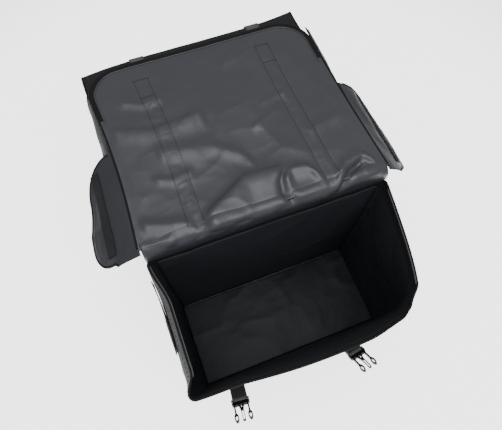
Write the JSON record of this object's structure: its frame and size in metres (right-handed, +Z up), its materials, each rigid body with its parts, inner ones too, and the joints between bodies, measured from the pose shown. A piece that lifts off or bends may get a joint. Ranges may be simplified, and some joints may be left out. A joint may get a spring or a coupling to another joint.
{
  "type": "double pannier bag",
  "caption": "Double bicycle pannier: soft box bags joined by a rack yoke, with hinged lids, folding side ears, webbing straps and side-release buckles.",
  "frame": {"origin": "centre of the rack pad's underside, under the yoke between the two bags", "axes": "+X along the lid hinges, +Y from the open bag to the closed bag, +Z up"},
  "size_m": [0.5204, 0.6113, 0.3441],
  "materials": {
    "shell_fabric": "coated woven polyester, faint sheen",
    "grey_lining": "coated grey lining, satin",
    "webbing": "woven webbing, matt",
    "hook_tape": "hook and loop tape, matt",
    "piping": "edge piping, satin",
    "lined_board": "lined stiffening board, satin",
    "rack_pad": "ribbed pad, matt",
    "buckle_plastic": "moulded plastic, semi-gloss"
  },
  "bodies": {
    "bags": {"yoke_panel": "shell_fabric", "rack_pad": "rack_pad", "front_back_panel": "shell_fabric", "front_face_panel": "shell_fabric", "front_end_left": "shell_fabric", "front_end_right": "shell_fabric", "front_base_panel": "shell_fabric", "front_base_board": "lined_board", "front_back_board": "lined_board", "front_rim_binding": "piping", "front_face_straps": "webbing", "front_loop_tapes": "hook_tape", "front_hinge_tape": "shell_fabric", "rear_back_panel": "shell_fabric", "rear_face_panel": "shell_fabric", "rear_end_left": "shell_fabric", "rear_end_right": "shell_fabric", "rear_base_panel": "shell_fabric", "rear_base_board": "lined_board", "rear_back_board": "lined_board", "rear_rim_binding": "piping", "rear_face_straps": "webbing", "rear_loop_tapes": "hook_tape", "rear_hinge_tape": "shell_fabric"},
    "front_lid": {"front_lid_panel": "shell_fabric", "front_lid_lining": "grey_lining", "front_lid_straps": "webbing"},
    "front_flap": {"front_flap_panel": "shell_fabric", "front_flap_lining": "grey_lining", "front_flap_binding": "shell_fabric", "front_flap_straps": "webbing", "front_female_left": "buckle_plastic", "front_female_right": "buckle_plastic"},
    "front_ear_left": {"front_ear_left": "grey_lining", "front_hook_left": "hook_tape"},
    "front_ear_right": {"front_ear_right": "grey_lining", "front_hook_right": "hook_tape"},
    "front_tab_left": {"front_tab_left": "webbing", "front_male_left": "buckle_plastic"},
    "front_tab_right": {"front_tab_right": "webbing", "front_male_right": "buckle_plastic"},
    "front_prong_left_a": {"front_prong_left_a": "buckle_plastic"},
    "front_prong_left_b": {"front_prong_left_b": "buckle_plastic"},
    "front_prong_right_a": {"front_prong_right_a": "buckle_plastic"},
    "front_prong_right_b": {"front_prong_right_b": "buckle_plastic"},
    "rear_lid": {"rear_lid_panel": "shell_fabric", "rear_lid_straps": "webbing"},
    "rear_flap": {"rear_flap_panel": "shell_fabric", "rear_flap_straps": "webbing", "rear_female_left": "buckle_plastic", "rear_female_right": "buckle_plastic"},
    "rear_ear_left": {"rear_ear_left": "shell_fabric"},
    "rear_ear_right": {"rear_ear_right": "shell_fabric"},
    "rear_tab_left": {"rear_tab_left": "webbing", "rear_male_left": "buckle_plastic"},
    "rear_tab_right": {"rear_tab_right": "webbing", "rear_male_right": "buckle_plastic"}
  },
  "joints": [
    {"name": "front_lid_hinge", "type": "hinge", "parent": "bags", "child": "front_lid", "pos_m": [0, -0.072, 0.013], "axis": [1, 0, 0], "range_deg": [0, 179.5]},
    {"name": "front_flap_fold", "type": "hinge", "parent": "front_lid", "child": "front_flap", "pos_m": [0, 0.133, 0.02225], "axis": [1, 0, 0], "range_deg": [0, 90]},
    {"name": "front_ear_right_fold", "type": "hinge", "parent": "front_lid", "child": "front_ear_right", "pos_m": [0.1955, 0, 0.02225], "axis": [0, -1, 0], "range_deg": [0, 120]},
    {"name": "front_ear_left_fold", "type": "hinge", "parent": "front_lid", "child": "front_ear_left", "pos_m": [-0.1955, 0, 0.02225], "axis": [0, 1, 0], "range_deg": [0, 120]},
    {"name": "front_tab_left_fold", "type": "hinge", "parent": "bags", "child": "front_tab_left", "pos_m": [-0.125, -0.26266, -0.1734], "axis": [-0.9945, 0.1045, 0], "range_deg": [-45, 5], "stiffness_Nm_per_rad": 0.3},
    {"name": "front_prong_left_a_flex", "type": "hinge", "parent": "front_tab_left", "child": "front_prong_left_a", "pos_m": [-0.13915, -0.29585, -0.14235], "axis": [0.0699, 0.6655, 0.7431], "range_deg": [0, 5], "stiffness_Nm_per_rad": 0.5},
    {"name": "front_prong_left_b_flex", "type": "hinge", "parent": "front_tab_left", "child": "front_prong_left_b", "pos_m": [-0.11806, -0.29806, -0.14235], "axis": [-0.0699, -0.6655, -0.7431], "range_deg": [0, 5], "stiffness_Nm_per_rad": 0.5},
    {"name": "front_tab_right_fold", "type": "hinge", "parent": "bags", "child": "front_tab_right", "pos_m": [0.067, -0.26266, -0.1734], "axis": [-0.9848, -0.1736, 0], "range_deg": [-45, 5], "stiffness_Nm_per_rad": 0.3},
    {"name": "front_prong_right_a_flex", "type": "hinge", "parent": "front_tab_right", "child": "front_prong_right_a", "pos_m": [0.06255, -0.29846, -0.14235], "axis": [-0.1162, 0.659, 0.7431], "range_deg": [0, 5], "stiffness_Nm_per_rad": 0.5},
    {"name": "front_prong_right_b_flex", "type": "hinge", "parent": "front_tab_right", "child": "front_prong_right_b", "pos_m": [0.08343, -0.29478, -0.14235], "axis": [0.1162, -0.659, -0.7431], "range_deg": [0, 5], "stiffness_Nm_per_rad": 0.5},
    {"name": "rear_lid_hinge", "type": "hinge", "parent": "bags", "child": "rear_lid", "pos_m": [0, 0.072, 0.013], "axis": [1, 0, 0], "range_deg": [0, 135]},
    {"name": "rear_flap_fold", "type": "hinge", "parent": "rear_lid", "child": "rear_flap", "pos_m": [0, 0.277, 0.00375], "axis": [1, 0, 0], "range_deg": [0, 90]},
    {"name": "rear_ear_right_fold", "type": "hinge", "parent": "rear_lid", "child": "rear_ear_right", "pos_m": [0.1955, 0, 0.00375], "axis": [0, -1, 0], "range_deg": [0, 90]},
    {"name": "rear_ear_left_fold", "type": "hinge", "parent": "rear_lid", "child": "rear_ear_left", "pos_m": [-0.1955, 0, 0.00375], "axis": [0, 1, 0], "range_deg": [0, 90]},
    {"name": "rear_tab_left_fold", "type": "hinge", "parent": "bags", "child": "rear_tab_left", "pos_m": [-0.105, 0.26266, -0.1734], "axis": [1, 0, 0], "range_deg": [0, 110]},
    {"name": "rear_tab_right_fold", "type": "hinge", "parent": "bags", "child": "rear_tab_right", "pos_m": [0.105, 0.26266, -0.1734], "axis": [1, 0, 0], "range_deg": [0, 110]}
  ],
  "couplings": [
    {"joint": "rear_lid_hinge", "follows": "front_lid_hinge", "ratio": 0.75},
    {"joint": "rear_ear_right_fold", "follows": "front_lid_hinge", "ratio": 0.5},
    {"joint": "rear_ear_left_fold", "follows": "front_lid_hinge", "ratio": 0.5},
    {"joint": "front_prong_left_b_flex", "follows": "front_prong_left_a_flex", "ratio": 1},
    {"joint": "front_prong_right_b_flex", "follows": "front_prong_right_a_flex", "ratio": 1}
  ]
}
